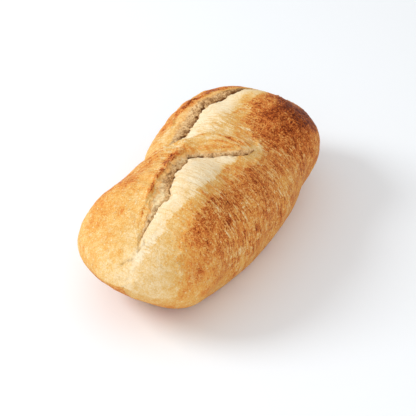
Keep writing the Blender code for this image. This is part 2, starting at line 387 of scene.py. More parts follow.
class Slash:
    """How far each vertex is past the pale edge and past the torn wall of one slash."""

    def __init__(self, rows, crust_over=0.0):
        self.rows = rows
        self.inside = inside(rows)
        self.away = distance_from(rows, px, py)
        self.gap = np.maximum(along(rows, px, 2) - crust_over, NO_GAP)
        self.past_wall = self.away - self.gap
        wall = smooth_step(self.away, *WALL_FOOT) * smooth_step(self.gap, *WALL_GAP)
        wall = wall * smooth_step(TOP_WANDER * wander - self.past_wall, *WALL_TOP)
        self.wall = wall * self.inside * upper


crust_over = CRUST_OVER_WALL * at_x(*CRUST_OVER_WALL_AT)
crust_over = crust_over + CRUST_OVER_END * smooth_step(px, *CRUST_OVER_END_FROM)
near, far = Slash(NEAR_SLASH, crust_over), Slash(FAR_SLASH)
wall = np.maximum(near.wall, far.wall)
far_rise = (FAR_RISE + FAR_RISE_MORE * at_x(*FAR_RISE_AT)) * far.away / far.gap
up_the_wall = np.clip(np.where(near.wall > far.wall, near.away / near.gap, far_rise), 0.0, 1.0)

# Shares from 0 to 1: of the far half, the left flank, the bridge and the underside.
blend = BEYOND_BLEND + SOFTER_BLEND * smooth_step(-py, *SOFTER_FROM)
beyond = smooth_step(bridge_away, BEYOND_BRIDGE - blend, BEYOND_BRIDGE + blend)
past_far = smooth_step(px, *PAST_FAR)
near_left = smooth_step(near.past_wall, LEFT_FROM, LEFT_WHOLE)
left_from, left_whole = LEFT_FROM - LEFT_SOONER * past_far, LEFT_WHOLE + LEFT_LATER * past_far
far_left = smooth_step(far.past_wall, left_from, left_whole)
left_side = near_left * (1.0 - beyond) + far_left * beyond
on_bridge = smooth_step(py, *BRIDGE_LEFT) * smooth_step(py, *BRIDGE_RIGHT) * upper
on_bridge = near_left * (1.0 - beyond) * on_bridge
underneath = smooth_step(-np.sin(angle), *UNDERNEATH)
side = left_side + (1.0 - left_side) * underneath

# --------------------
# How baked each place is, from 0, floury cream, to 1, almost burnt. Rows are (x, where the pale
# crust ends, where the brown crust starts), as distances round the loaf from its crown.

NEAR_BAKE = (
    (-0.12, -0.02, 0.07),
    (-0.111, 0.0, 0.06),
    (-0.102, 0.007, 0.034),
    (-0.092, 0.011, 0.0268),
    (-0.08, 0.0112, 0.0262),
    (-0.066, 0.0158, 0.0268),
    (-0.05, 0.018, 0.0278),
    (-0.034, 0.0185, 0.0283),
    (-0.013, 0.018, 0.0285),
    (0.004, 0.0175, 0.029),
    (0.02, 0.016, 0.0285),
)
FAR_BAKE = (
    (-0.02, -0.015, 0.03),
    (0.002, -0.014, 0.03),
    (0.014, -0.013, 0.029),
    (0.024, -0.013, 0.0239),
    (0.031, -0.0125, 0.016),
    (0.038, -0.0115, 0.006),
    (0.05, -0.0095, 0.001),
    (0.065, -0.0065, -0.001),
    (0.08, -0.003, 0.003),
    (0.1, 0.001, 0.005),
)
# Patches that took more or less heat, and one of painted light on the near end's underside: (x, round,
# reach along, reach round, more).
PATCHES = (
    (0.062, 0.024, 0.026, 0.02, 0.28),
    (0.082, 0.026, 0.014, 0.018, 0.16),
    (0.098, 0.022, 0.016, 0.022, 0.28),
    (0.066, 0.0, 0.012, 0.005, 0.06),
    (0.036, -0.008, 0.024, 0.008, -0.06),
    (0.02, 0.005, 0.014, 0.012, -0.03),
    (0.05, 0.068, 0.04, 0.018, -0.04),
    (-0.04, 0.078, 0.06, 0.02, -0.06),
    (-0.058, 0.079, 0.0035, 0.006, 0.16),
    (-0.053, 0.088, 0.0035, 0.006, 0.14),
    (-0.073, 0.034, 0.014, 0.007, 0.05),
    (-0.0775, 0.041, 0.004, 0.003, 0.12),
    (-0.05, 0.038, 0.01, 0.009, 0.05),
    (-0.042, 0.038, 0.004, 0.0035, 0.11),
    (-0.093, 0.046, 0.004, 0.0035, 0.14),
    (-0.107, 0.036, 0.003, 0.003, 0.08),
    (-0.032, 0.066, 0.003, 0.003, 0.12),
    (-0.0135, 0.064, 0.0035, 0.004, 0.13),
    (-0.037, 0.082, 0.003, 0.003, 0.1),
    (-0.01, 0.038, 0.013, 0.009, 0.07),
    (-0.032, 0.052, 0.008, 0.01, -0.08),
    (0.014, 0.052, 0.006, 0.005, -0.16),
    (-0.013, 0.032, 0.006, 0.004, -0.08),
    (0.025, 0.04, 0.012, 0.01, -0.04),
    # Painted light: the near end's underside is made lighter, as if lit by light bounced up onto it.
    (-0.12, 0.03, 0.015, 0.06, -0.2),
    (-0.096, 0.055, 0.018, 0.02, -0.15),
    (-0.1, 0.027, 0.009, 0.009, -0.1),
    (-0.112, -0.03, 0.014, 0.03, 0.08),
    (-0.11, 0.005, 0.006, 0.0045, -0.14),
    (-0.082, 0.007, 0.01, 0.0035, 0.09),
    (-0.06, 0.012, 0.007, 0.0025, 0.07),
    (-0.094, 0.002, 0.006, 0.004, 0.07),
    (0.026, -0.015, 0.004, 0.002, 0.12),
    (0.038, -0.015, 0.006, 0.0025, 0.1),
    (0.048, -0.01, 0.007, 0.003, 0.1),
    (0.062, -0.008, 0.006, 0.003, 0.1),
    (-0.057, -0.048, 0.022, 0.014, 0.18),
    (-0.066, -0.026, 0.014, 0.008, 0.06),
    (-0.075, -0.062, 0.03, 0.012, 0.05),
    (-0.035, -0.04, 0.03, 0.018, 0.09),
    (-0.061, -0.0305, 0.004, 0.003, 0.12),
    (-0.042, -0.03, 0.014, 0.01, 0.11),
    (-0.084, -0.024, 0.0045, 0.0035, 0.14),
    (-0.109, -0.0085, 0.003, 0.002, 0.12),
    (-0.085, -0.045, 0.014, 0.01, 0.04),
    (0.028, -0.058, 0.02, 0.007, 0.2),
    (0.058, -0.055, 0.012, 0.006, 0.28),
    (0.078, -0.048, 0.012, 0.006, 0.28),
    (0.095, -0.036, 0.012, 0.01, 0.2),
    (-0.094, 0.015, 0.013, 0.007, -0.13),
    (-0.016, 0.047, 0.011, 0.01, 0.12),
    (0.015, -0.026, 0.007, 0.004, -0.1),
    (-0.009, -0.045, 0.008, 0.006, -0.07),
    (-0.1, 0.05, 0.007, 0.006, 0.05),
    (-0.106, 0.007, 0.006, 0.004, -0.08),
    (-0.034, 0.043, 0.007, 0.006, 0.07),
    (0.033, 0.038, 0.01, 0.007, 0.11),
    (-0.038, 0.072, 0.007, 0.007, 0.1),
    (-0.048, 0.056, 0.007, 0.006, -0.1),
    (-0.017, 0.019, 0.007, 0.005, 0.15),
    (0.066, -0.01, 0.013, 0.005, 0.24),
    (0.024, -0.003, 0.006, 0.005, -0.16),
    (0.068, 0.012, 0.007, 0.006, -0.09),
    (-0.101, -0.005, 0.008, 0.006, -0.08),
    (0.048, -0.045, 0.01, 0.006, 0.14),
    (-0.05, 0.085, 0.022, 0.008, -0.09),
    (0.04, 0.064, 0.01, 0.006, -0.06),
    (-0.089, 0.035, 0.008, 0.006, -0.09),
    (0.064, 0.047, 0.009, 0.007, 0.09),
    (-0.062, 0.054, 0.006, 0.005, 0.08),
    (-0.087, -0.034, 0.009, 0.007, 0.1),
    (-0.083, 0.021, 0.006, 0.005, -0.07),
)
# Lines along the bridge: (distance past its crest, half width, height, more bake).
FOLDS = (
    (0.0012, 0.0012, 0.0012, 0.2),
    (-0.003, 0.001, 0.0005, -0.05),
    (-0.0056, 0.0009, 0.0006, 0.16),
    (-0.0105, 0.0011, 0.0005, 0.13),
)
# Lines in plan: (half width, height, more bake, points). A burnt mark on the bridge, and past the
# end of the near slash a pale smear and the arc of a ridge, whose lighter colour is a painted highlight.
BURNT_MARK = ((0.015, -0.007), (0.0104, -0.013), (0.0086, -0.019), (0.01, -0.025))
PALE_SMEAR = ((0.008, -0.033), (0.016, -0.0338), (0.025, -0.031))
RIDGE = ((0.0307, -0.0275), (0.024, -0.0339), (0.0187, -0.0374), (0.0104, -0.0393), (0.0028, -0.0389))
LINES_IN_PLAN = (
    (0.0014, -0.0002, 0.24, BURNT_MARK),
    (0.0042, -0.0003, -0.17, PALE_SMEAR),
    # The ridge is painted lighter along its crest, as a highlight.
    (0.0009, 0.0005, -0.14, RIDGE),
)
LEFT_BAKE, FAR_LEFT_MORE, FAR_LEFT_FROM, UNDER_BAKE = 0.285, 0.08, (0.030, 0.060), 0.50
# The pale crust browns at the far end. The share between pale and brown is kept within limits.
FAR_END_MORE, FAR_END, FAR_END_WANDER, STILL_PALE = 1.3, (0.098, 0.116), 6.0, (1.0, 0.2)
SHARE_LIMITS = (-1.5, 2.5)
# The folds wander and break up, and their bake is a little wider than they are.
FOLD_WANDER, FOLD_WHOLE, FOLD_UNEVEN, FOLD_MOST, FOLD_SPREAD = 2.2, 0.55, 1.5, 1.3, 1.15


def brown_share(rows):
    """The share of the way from the pale crust to the brown, over the loaf."""
    pale, brown = along(rows, px, 1), along(rows, px, 2)
    return (round_ - pale) / (brown - pale)


def patch_bake_and_painted_light():
    """The bake that the patches add or take away, with light painted on the near end's underside."""
    bake = np.zeros_like(px)
    for x0, round0, reach_x, reach_round, more in PATCHES:
        bake = bake + more * bell(px - x0, reach_x) * bell(round_ - round0, reach_round)
    return bake


def fold_relief():
    """The height and the bake of the folds along the bridge."""
    away = bridge_away + FOLD_WANDER * wander
    broken_up = np.clip(FOLD_WHOLE + FOLD_UNEVEN * field(plain, *FOLD_NOISE), 0.0, FOLD_MOST)
    height, bake = np.zeros_like(px), np.zeros_like(px)
    for place, breadth, lift, more in FOLDS:
        height = height + lift * bell(away - place, breadth)
        bake = bake + more * broken_up * bell(away - place, FOLD_SPREAD * breadth)
    return on_bridge * height, on_bridge * bake


def drawn_relief():
    """The height and the bake of the lines in plan. On the ridge, the lighter bake is a painted highlight.
    """
    height, bake = np.zeros_like(px), np.zeros_like(px)
    for breadth, lift, more, path in LINES_IN_PLAN:
        shape = bell(distance_to_path(path), breadth)
        height = height + lift * shape
        bake = bake + more * shape
    return height * upper, bake


share = brown_share(NEAR_BAKE) * (1.0 - beyond) + brown_share(FAR_BAKE) * beyond
far_end = smooth_step(px + FAR_END_WANDER * wander, *FAR_END)
share = share + FAR_END_MORE * far_end * smooth_step(share, *STILL_PALE)
share = np.clip(share, *SHARE_LIMITS)
left_bake = LEFT_BAKE + FAR_LEFT_MORE * beyond * smooth_step(px, *FAR_LEFT_FROM)
left_bake = left_bake + (UNDER_BAKE - left_bake) * underneath
fold_height, fold_bake = fold_relief()
drawn_height, drawn_bake_and_highlight = drawn_relief()

# --------------------
# The fine form.

# The ear: rows of (x, distance past the wall, strength, half width of its burnt rim).
NEAR_EAR = (
    (-0.096, 0.0034, 0.0, 0.0008),
    (-0.088, 0.0036, 0.5, 0.0008),
    (-0.0813, 0.0034, 0.9, 0.0009),
    (-0.0785, 0.0032, 0.3, 0.0009),
    (-0.076, 0.003, 0.1, 0.0009),
    (-0.0731, 0.0026, 0.6, 0.0011),
    (-0.07, 0.0021, 1.2, 0.0013),
    (-0.064, 0.0022, 1.2, 0.0014),
    (-0.058, 0.0016, 1.0, 0.0013),
    (-0.0545, 0.0019, 1.1, 0.0014),
    (-0.0488, 0.0016, 1.4, 0.0018),
    (-0.0459, 0.0019, 1.8, 0.0022),
    (-0.0414, 0.003, 1.9, 0.0028),
    (-0.0383, 0.004, 1.9, 0.0031),
    (-0.0346, 0.0047, 1.8, 0.0032),
    (-0.0301, 0.0038, 1.6, 0.0028),
    (-0.0257, 0.0034, 1.3, 0.0023),
    (-0.02, 0.003, 0.8, 0.0018),
    (-0.014, 0.0024, 0.6, 0.0015),
    (-0.006, 0.0022, 0.5, 0.0011),
    (0.006, 0.002, 0.4, 0.001),
    (0.016, 0.0018, 0.0, 0.0008),
)
FAR_EAR = (
    (0.0, 0.0015, 0.0, 0.001),
    (0.02, 0.004, 0.3, 0.0014),
    (0.035, 0.0052, 0.6, 0.0018),
    (0.052, 0.0058, 1.1, 0.002),
    (0.06, 0.0055, 1.3, 0.0022),
    (0.066, 0.007, 1.1, 0.0024),
    (0.073, 0.011, 1.0, 0.003),
    (0.08, 0.012, 0.7, 0.003),
    (0.09, 0.01, 0.3, 0.0025),
    (0.1, 0.008, 0.0, 0.002),
)
EAR_STEP, EAR_FADE, EAR_ENDS = 0.0011, 0.016, 0.025
EAR_RISE, EAR_RISE_SOONER, EAR_WANDER, LEAST_RIM = (-0.0003, 0.0007), 0.8, 0.5, 0.0003
EAR_UNEVEN, EAR_LEAST, EAR_MOST = 2.2, 0.1, 2.0
# The strip of thin crust starts at the wall, and gives way to the rim at shares of its half width.
STRIP_FROM_WALL, STRIP_TO_RIM = (-0.0004, 0.0008), (-0.5, -1.2)
EAR_MORE, STRIP_MORE = 0.25, -0.05
# The brown crust stands a step above the pale, with a low rim along its ragged border.
BROWN_STEP, BROWN_FROM, BROWN_RIM, BROWN_RIM_WIDTH = 0.00035, (0.90, 1.02), 1.2, 0.06
BORDER_RAGGED, FINE_BORDER_RAGGED = 0.20, 0.15
# A crack and a crease at the near end: (half width, depth, points in plan).
CRACK = ((-0.0961, -0.0099), (-0.0986, -0.0141), (-0.1016, -0.0154), (-0.1045, -0.0146), (-0.1072, -0.0139))
CREASE = ((-0.1159, -0.0072), (-0.1142, -0.0093), (-0.1129, -0.0122), (-0.1114, -0.0158))
CRACKS = ((0.00055, 0.0007, CRACK), (0.00070, 0.0008, CREASE))
# The torn crumb's roughness, and its holes, which are longer along the loaf and fewer up the wall.
CRUMB_ROUGHNESS, PORE_DEPTH, PORE_FROM, PORES_FEWER = 0.00045, 0.0007, (-0.05, 0.25), 0.8
PORE_STRETCH = np.array((0.6, 1.0, 1.0))
# The near crumb bulges up and is whole at one place, with light painted on it there against the shade of
# the deep crevice, and it is darker next to it.
BULGE_AT, BULGE_HEIGHT, BULGE_FADE, BULGE_WHOLE = (-0.070, 0.013), 0.0018, (0.9, 0.1), 0.85
BULGE_PAINTED_LIGHT, BESIDE_BULGE_DARK, BESIDE_BULGE_AT = 0.30, 0.22, (-0.050, 0.008)
NEAR_CRUMB_DARK, FAR_CRUMB_DARK, CRUMB_DARKER = (0.0, 0.020), (0.045, 0.062), 0.12
# The skin's unevenness, and its streaks, which are longer round the loaf than along it.
SKIN_ROUGHNESS, SKIN_STREAKS, STREAKS_ROUND, STREAKS_UP = 0.00032, 0.00018, 0.16, 0.05
# Blisters: how many are tried, their least and most radius, and height as a share of it.
BLISTERS, BLISTER_LEAST, BLISTER_MOST, BLISTER_SHARE = 3200, 0.0008, 0.0018, 0.17
BLISTER_DOME, BLISTER_LOWEST, BLISTER_SEED = 1.5, 0.01, 4
# The chance that a tried blister stays: on pale crust, how much more on brown, on the left flank.
STAY_ON_PALE, STAY_MORE, STAY_MORE_FROM, STAY_ON_LEFT = 0.25, 0.65, (0.3, 1.1), 0.35
# The torn edge: (how far it is ragged, its noise), and how the pale crust hangs over.
RAGGED_WAVES = ((0.0004, (0.0110, 20, 1)), (0.0013, (0.0030, 21, 1)), (0.0010, (0.0014, 22, 1)))
OVERHANG, OVERHANG_PLACE, OVERHANG_REACH, OVERHANG_GAP = 0.0004, 0.0019, 0.0014, (0.0003, 0.0040)
PALE_RAGGED, TORN_RAGGED, TORN_FOOT, TORN_TOP = 1.6, 1.2, (0.0, 0.001), (0.001, -0.0005)
# The painted shade of each crevice: (distance past the wall's foot, half width), and where it is deepest.
NEAR_CREVICE_SHADE, NEAR_DEEPEST_AT, NEAR_CREVICE_END = (0.0003, 0.0010), (-0.019, 0.009), (0.006, -0.006)
FAR_CREVICE_SHADE, FAR_DEEPEST_AT, CREVICE_GAP = (0.0020, 0.0019), (0.051, 0.009), (0.0012, 0.0035)
DEEPEST_MORE, BULGE_HIDES = 1.6, 0.7


def ear_relief(slash, rows):
    """The height, burnt rim and thin inner strip of the crust lifted beside one slash."""
    start, end = rows[0][0], rows[-1][0]
    past = slash.past_wall - along(rows, px, 1) + EAR_WANDER * wander
    strength = np.maximum(along(rows, px, 2), 0.0) * inside(rows) * upper
    breadth = np.maximum(along(rows, px, 3), LEAST_RIM)
    lifted = smooth_step(past + EAR_RISE_SOONER * breadth, *EAR_RISE)
    lifted = lifted * np.exp(-np.maximum(past, 0.0) / EAR_FADE)
    ends = smooth_step(px, start, start + EAR_ENDS) * smooth_step(px, end, end - EAR_ENDS)
    strip = smooth_step(past / breadth, *STRIP_TO_RIM) * smooth_step(slash.past_wall, *STRIP_FROM_WALL)
    height = EAR_STEP * ends * uneven * lifted * upper
    return height, strength * bell(past, breadth), np.minimum(strength, 1.0) * strip


def border_relief():
    """The height of the brown crust over the pale."""
    edge = share + BORDER_RAGGED * field(plain, *BORDER_NOISE)
    edge = edge + FINE_BORDER_RAGGED * field(plain, *FINE_BORDER_NOISE)
    step = smooth_step(edge, *BROWN_FROM) + BROWN_RIM * bell(edge - BROWN_FROM[1], BROWN_RIM_WIDTH)
    return BROWN_STEP * (1.0 - side) * upper * step


def crack_relief():
    """The height of the cracks, and the shade painted in them, measured against the first crack's depth."""
    height, painted_shade = np.zeros_like(px), np.zeros_like(px)
    for breadth, depth, path in CRACKS:
        shape = bell(distance_to_path(path), breadth)
        height = height - depth * shape
        painted_shade = np.maximum(painted_shade, shape * depth / CRACKS[0][1])
    return height, painted_shade


def crumb_relief():
    """The height of the torn crumb, its holes, and how light it is, with light painted where it bulges
    against the crevice's shade.
    """
    bulge = at_x(*BULGE_AT)
    holes = field(plain * PORE_STRETCH, *PORE_NOISE) - PORES_FEWER * up_the_wall
    holes = wall * smooth_step(holes, *PORE_FROM) * (1.0 - BULGE_WHOLE * bulge)
    height = CRUMB_ROUGHNESS * wall * field(plain, *CRUMB_NOISE) - PORE_DEPTH * holes
    height = height + BULGE_HEIGHT * bulge * near.wall * smooth_step(up_the_wall, *BULGE_FADE)
    # Painted light on the bulge, which offsets the shade of the deep crevice.
    light = BULGE_PAINTED_LIGHT * bulge - BESIDE_BULGE_DARK * at_x(*BESIDE_BULGE_AT)
    light = light - CRUMB_DARKER * smooth_step(px, *NEAR_CRUMB_DARK)
    light = light - CRUMB_DARKER * smooth_step(px, *FAR_CRUMB_DARK)
    return height, holes, light


def skin_relief():
    """The unevenness of the whole crust."""
    unrolled = np.stack([px, STREAKS_ROUND * round_, STREAKS_UP * pz], axis=-1)
    height = SKIN_ROUGHNESS * field(plain, *SKIN_NOISE) + SKIN_STREAKS * field(unrolled, *STREAK_NOISE)
    return height * (1.0 - wall) * off_floor


def blister_relief():
    """The height and the share of blister at each vertex. Well baked crust has more of them."""
    flat = base.reshape(-1, 3)
    tree = kdtree.KDTree(len(flat))
    for index, spot in enumerate(flat.tolist()):
        tree.insert(spot, index)
    tree.balance()
    random = np.random.default_rng(BLISTER_SEED)
    height, dome_share = np.zeros(len(flat)), np.zeros(len(flat))
    on_right = STAY_ON_PALE + STAY_MORE * smooth_step(share, *STAY_MORE_FROM)
    chance = on_right * (1.0 - side) + STAY_ON_LEFT * side
    chance = (chance * upper * (1.0 - wall) * (pz > BLISTER_LOWEST)).reshape(-1)
    for index in random.integers(0, len(flat), BLISTERS):
        radius = BLISTER_LEAST + (BLISTER_MOST - BLISTER_LEAST) * random.random() ** 2
        if random.random() > chance[index]:
            continue
        for _, other, away in tree.find_range(flat[index].tolist(), radius):
            dome = (1.0 - (away / radius) ** 2) ** BLISTER_DOME
            height[other] = max(height[other], BLISTER_SHARE * radius * dome)
            dome_share[other] = max(dome_share[other], dome)
    return height.reshape(px.shape), dome_share.reshape(px.shape)


def edge_lean(slash):
    """How the ragged edges along one slash lean sideways, and hang over its crevice."""
    slope = slope_of(slash.rows, px)
    sideways = np.stack([-slope, np.ones_like(slope), np.zeros_like(slope)], axis=-1)
    sideways = sideways / np.linalg.norm(sideways, axis=-1, keepdims=True)
    pale = (OVERHANG + PALE_RAGGED * ragged) * bell(slash.away + OVERHANG_PLACE, OVERHANG_REACH)
    torn = smooth_step(slash.away, *TORN_FOOT) * smooth_step(slash.past_wall, *TORN_TOP)
    lean = pale * (slash.away < 0.0) + TORN_RAGGED * ragged * torn
    lean = lean * smooth_step(slash.gap, *OVERHANG_GAP) * slash.inside * upper
    return lean[..., None] * sideways


def crevice_painted_shade(slash, line, deepest):
    """The shade painted in the crevice of one slash."""
    place, breadth = line
    painted_shade = bell(slash.away - place, breadth) * smooth_step(slash.gap, *CREVICE_GAP)
    return painted_shade * slash.inside * upper * (1.0 + DEEPEST_MORE * at_x(*deepest))


uneven = np.clip(1.0 + EAR_UNEVEN * field(plain, *EAR_NOISE), EAR_LEAST, EAR_MOST)
near_ear, near_rim, near_strip = ear_relief(near, NEAR_EAR)
far_ear, far_rim, far_strip = ear_relief(far, FAR_EAR)
rim, strip = np.maximum(near_rim, far_rim), np.maximum(near_strip, far_strip)
more_bake_and_painted_light = patch_bake_and_painted_light() + fold_bake + drawn_bake_and_highlight + EAR_MORE * rim + STRIP_MORE * strip
past_wall = np.where(beyond > 0.5, far.past_wall, near.past_wall)

# The cracks get painted shade as well as depth.
crack_height, crack_shade = crack_relief()
crumb_height, pores, crumb_more = crumb_relief()
blister_height, blister = blister_relief()
fine = near_ear + far_ear + fold_height + drawn_height + border_relief()
fine = fine + crack_height + crumb_height + skin_relief() + blister_height
ragged = np.zeros_like(px)
for reach, waves in RAGGED_WAVES:
    ragged = ragged + reach * field(plain, *waves)
points = base + fine[..., None] * normal + edge_lean(near) + edge_lean(far)
points[..., 2] = np.maximum(points[..., 2], 0.0)

# Painted shade along the crevices, less where the near crumb bulges.
near_crevice = crevice_painted_shade(near, NEAR_CREVICE_SHADE, NEAR_DEEPEST_AT) * smooth_step(px, *NEAR_CREVICE_END)
near_crevice = near_crevice * (1.0 - BULGE_HIDES * at_x(*BULGE_AT))
crevice = np.maximum(near_crevice, crevice_painted_shade(far, FAR_CREVICE_SHADE, FAR_DEEPEST_AT))

# --------------------
# The mesh.


def loaf_mesh():
    """A closed mesh of the rows of points and the loaf's two tips, centred in plan."""
    stations, count = points.shape[:2]
    tips = [plain_loaf(np.array([end]), np.array([0.0]))[0] for end in (0.0, math.pi)]
    vertices = np.concatenate([points.reshape(-1, 3), np.array(tips)])
    vertices[:, :2] -= middle
    near_tip, far_tip = len(vertices) - 2, len(vertices) - 1
    last = (stations - 1) * count
    faces = []
    for station in range(stations - 1):
        for line in range(count):
            after = (line + 1) % count
            a, b = station * count + line, station * count + after
            faces.append((a, b, b + count, a + count))
    for line in range(count):
        after = (line + 1) % count
        faces.append((near_tip, after, line))
        faces.append((far_tip, last + line, last + after))
    mesh = bpy.data.meshes.new("baked_loaf")
    mesh.from_pydata(vertices.tolist(), [], faces)
    mesh.update()
    mesh.shade_smooth()
    return mesh


def add_object(name, data):
    made = bpy.data.objects.new(name, data)
    bpy.context.scene.collection.objects.link(made)
    return made


def keep(name, values):
    """Keeps one number for each vertex on the mesh. A tip gets the mean of the row beside it."""
    numbers = np.concatenate([values.reshape(-1), (values[0].mean(), values[-1].mean())])
    attribute = mesh.attributes.new(name, "FLOAT", "POINT")
    attribute.data.foreach_set("value", numbers.astype(np.float32))


mesh = loaf_mesh()
keep("share", share)
keep("side", side)
keep("left_bake", left_bake)
keep("more_bake_and_painted_light", more_bake_and_painted_light)
keep("wall", wall)
keep("up_the_wall", up_the_wall)
# The shade painted in the crevices.
keep("crevice", crevice)
keep("crack_shade", crack_shade)
keep("pores", pores)
keep("crumb_more", crumb_more)
keep("rim", rim)
keep("past_wall", past_wall)
keep("blister", blister)
keep("round", round_)
loaf = add_object("baked_loaf", mesh)

# --------------------
# The material. Pairs of numbers say where a thing starts and where it is whole.


def tone(red, green, blue):
    """A colour given as it shows on a screen, from 0 to 255."""
    linear = []
    for part in (red, green, blue):
        part = part / 255.0
        linear.append(part / 12.92 if part <= 0.04045 else ((part + 0.055) / 1.055) ** 2.4)
    return (*linear, 1.0)


# Noises in the material: (size of the features, detail, roughness, distortion).
STREAKS, CLOUDS = (0.0014, 3.0, 0.60, 0.0), (0.011, 3.0, 0.60, 0.0)
MOTTLE, GRAIN = (0.0030, 4.0, 0.75, 0.8), (0.0009, 3.0, 0.75, 0.0)
STREAKY_AREAS, BORDERS = (0.030, 1.0, 0.55, 0.0), (0.0070, 4.0, 0.70, 0.0)
RIM_LINES, THIN_LINES = (0.0013, 2.0, 0.60, 0.0), (0.0019, 2.0, 0.50, 0.0)
CRUMB_GRAIN, CRUMB_CLOUDS = (0.0016, 4.0, 0.75, 0.0), (0.0060, 3.0, 0.60, 0.0)
CREVICE_BREAKS = (0.0048, 3.0, 0.60, 0.0)

# Streaks run down the flanks: they are long round the loaf, and strongest about its waist.
FLOW_ROUND, FLOW_UP = 0.17, 0.04
STREAKY_FROM, STREAKY_LEAST, STREAKY_MORE = (0.42, 0.60), 0.35, 0.65
WAIST_X, WAIST_REACH, WAIST_MORE, STREAKS_ANYWHERE = -0.010, (0.085, 0.040), 0.8, 0.2

# Bake against the share of the way from the pale crust to the brown, and what makes it ragged.
SHARE_ENDS = (-0.5, 1.5)
SHARE_BAKES = (
    (-0.40, 0.05),
    (-0.06, 0.12),
    (0.12, 0.33),
    (0.40, 0.37),
    (0.88, 0.42),
    (1.04, 0.53),
    (1.50, 0.55),
)
BORDER_SWING, BORDER_STREAKS, RIM_SWING, RIM_STRETCH = 0.9, 0.45, 0.9, 0.22

# The pattern of the crust, and how strong it is on pale, golden and brown crust.
CLOUD_SWING, MOTTLE_SWING, STREAK_SWING, GRAIN_SWING = 0.65, 0.8, 1.1, 1.2
GOLDEN_FROM, BROWN_FROM_BAKE = (0.08, 0.34), (0.36, 0.56)
PALE_PATTERN, GOLDEN_PATTERN, BROWN_PATTERN = 0.38, 0.26, 0.60
CRUST_TONES = (
    (0.00, tone(250, 231, 195)),
    (0.12, tone(244, 213, 161)),
    (0.28, tone(232, 186, 109)),
    (0.42, tone(228, 159, 75)),
    (0.55, tone(217, 130, 62)),
    (0.68, tone(196, 100, 44)),
    (0.82, tone(150, 66, 20)),
    (1.00, tone(92, 34, 10)),
)

# Small dots, blisters and thin stretched lines are lighter than the crust round them. The dots and blisters
# are partly their own paler colour and partly painted glints.
DOT_SPACING, DOT_EDGE, DOT_CHOICE, BLISTER_DOTS = 0.0022, (0.38, 0.16), (0.45, 0.75), 0.8
THIN_LINE_EDGE, THIN_LINE_SHARE, PALE_DOTS, GOLDEN_DOTS = (0.56, 0.67), 0.95, 0.1, 0.9
LIGHTER, LIGHTER_SHARE, LIGHTER_ON_BROWN = 0.25, 0.58, 0.30
# Thin fibres cross the pale crust.
FIBRE_EDGE, FIBRE_BAKE, FIBRE_SHARE, FIBRE_TONE = (0.56, 0.68), (0.30, 0.10), 0.30, tone(206, 168, 112)

# Torn crumb is darker and holed towards the crevice, with shade painted in its holes, and baked golden at
# its top.
CRUMB_LOW, CRUMB_RISE, CRUMB_GRAIN_SWING, CRUMB_CLOUD_SWING = 0.37, 0.36, 2.2, 1.1
CRUMB_TONES = (
    (0.06, tone(148, 103, 60)),
    (0.30, tone(210, 163, 111)),
    (0.58, tone(246, 206, 150)),
    (0.90, tone(255, 230, 180)),
)
CRUMB_GOLD_SWING, CRUMB_GOLD_FROM, CRUMB_GOLD_DEEPENS = 0.7, (0.62, 0.92), (0.35, 0.70)
CRUMB_GOLD, CRUMB_DEEP_GOLD = tone(252, 204, 132), tone(232, 160, 84)
# The holes are painted with shade in a dark brown.
HOLE_SHADE_SHARE, HOLE_SHADE_TONE = 0.6, tone(146, 92, 44)
# Crevices and cracks are painted with shade in broken lines.
CREVICE_EDGE, CREVICE_SHARE, CRACK_EDGE, CRACK_SHARE = (0.42, 0.54), 0.85, (0.42, 0.58), 0.35
PAINTED_SHADE_TONE = tone(104, 58, 22)

# Roughness against bake: pale crust is dull, and brown crust has a slight sheen.
ROUGHNESS, SPECULAR = {"From Min": 0.2, "From Max": 0.7, "To Min": 0.75, "To Max": 0.46}, 0.05
GRAIN_BUMP, STREAK_BUMP, MOTTLE_BUMP, DOT_BUMP, CRUMB_BUMP = 0.35, 0.50, 0.55, 0.25, 0.5
BUMP_STRENGTH, BUMP_HEIGHT = 0.8, 0.0018

# Where a mix node of each kind has its first value and its result.
MIX_SOCKETS = {"FLOAT": (2, 0), "RGBA": (6, 2)}


class Value:
    """A number, place or colour that a material's nodes work out."""

    def __init__(self, nodes, socket):
        self.nodes, self.socket = nodes, socket

    def __add__(self, other):
        return self.nodes.math("ADD", self, other)

    def __sub__(self, other):
        return self.nodes.math("SUBTRACT", self, other)

    def __mul__(self, other):
        return self.nodes.math("MULTIPLY", self, other)

    def __abs__(self):
        return self.nodes.math("ABSOLUTE", self)

    def or_more(self, other):
        return self.nodes.math("MAXIMUM", self, other)

    def swing(self, amount):
        """A noise from 0 to 1 made into a change of half the amount either way."""
        return (self - 0.5) * amount

    def between(self, start, whole):
        """0 at the start, 1 where it is whole, and smooth between them."""
        inputs = {"Value": self, "From Min": start, "From Max": whole}
        return self.nodes.value("ShaderNodeMapRange", "Result", inputs, interpolation_type="SMOOTHSTEP")


